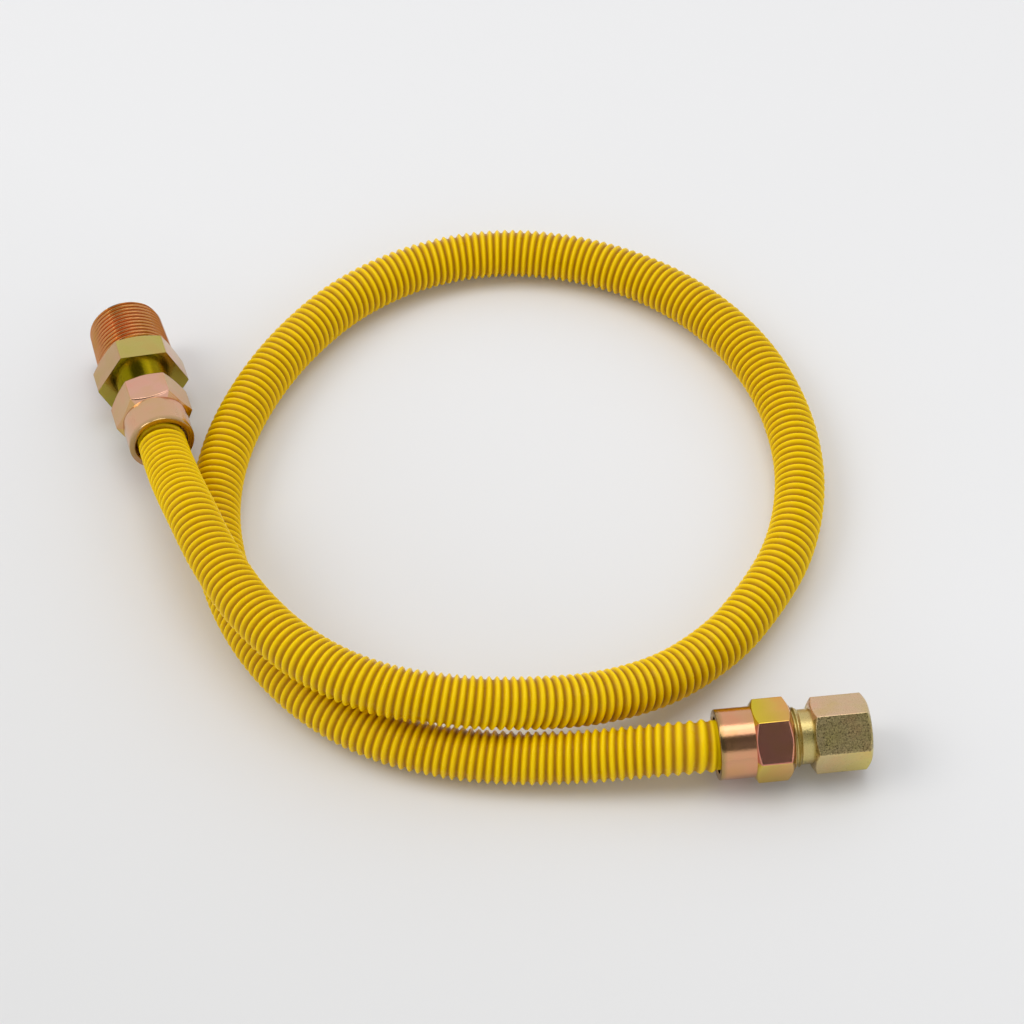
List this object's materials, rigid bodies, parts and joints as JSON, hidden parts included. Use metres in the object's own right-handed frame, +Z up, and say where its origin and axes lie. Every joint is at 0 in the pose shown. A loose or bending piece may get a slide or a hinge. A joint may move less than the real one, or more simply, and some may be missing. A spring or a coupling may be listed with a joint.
{
  "type": "flexible gas hose",
  "caption": "Flexible corrugated gas hose in a yellow jacket, with a female pipe socket on one end and a male pipe thread on the other, lying in a loose loop.",
  "frame": {"origin": "on the ground, under the middle of the box round the two end fittings", "axes": "+X along the female fitting, out of its pipe socket; +Z up"},
  "size_m": [0.2439, 0.2487, 0.0346],
  "materials": {
    "jacket": "satin gloss, corrugated",
    "plated": "yellow zinc plating, iridescent",
    "steel": "bare stainless"
  },
  "bodies": {
    "hose": {"corrugated_tube": "steel", "yellow_jacket": "jacket"},
    "female_nut": {"female_end_nut": "plated"},
    "female_adapter": {"female_pipe_adapter": "plated"},
    "male_nut": {"male_end_nut": "plated"},
    "male_adapter": {"male_pipe_adapter": "plated"}
  },
  "joints": [
    {"name": "female_nut_turn", "type": "hinge", "parent": "hose", "child": "female_nut", "pos_m": [0.0701, -0.096, 0.0131], "axis": [-1, 0, 0], "range_deg": [0, 2160]},
    {"name": "female_adapter_unscrew", "type": "slide", "parent": "hose", "child": "female_adapter", "axis": [1, 0, 0], "range_m": [0, 0.00953]},
    {"name": "male_nut_turn", "type": "hinge", "parent": "hose", "child": "male_nut", "pos_m": [-0.0952, 0.046, 0.0178], "axis": [0.1765, -0.9812, 0.0785], "range_deg": [0, 2160]},
    {"name": "male_adapter_unscrew", "type": "slide", "parent": "hose", "child": "male_adapter", "axis": [-0.1765, 0.9812, -0.0785], "range_m": [0, 0.00953]}
  ],
  "couplings": [
    {"joint": "female_nut_turn", "follows": "female_adapter_unscrew", "rad_per_m": 3957.9},
    {"joint": "male_nut_turn", "follows": "male_adapter_unscrew", "rad_per_m": 3957.9}
  ]
}
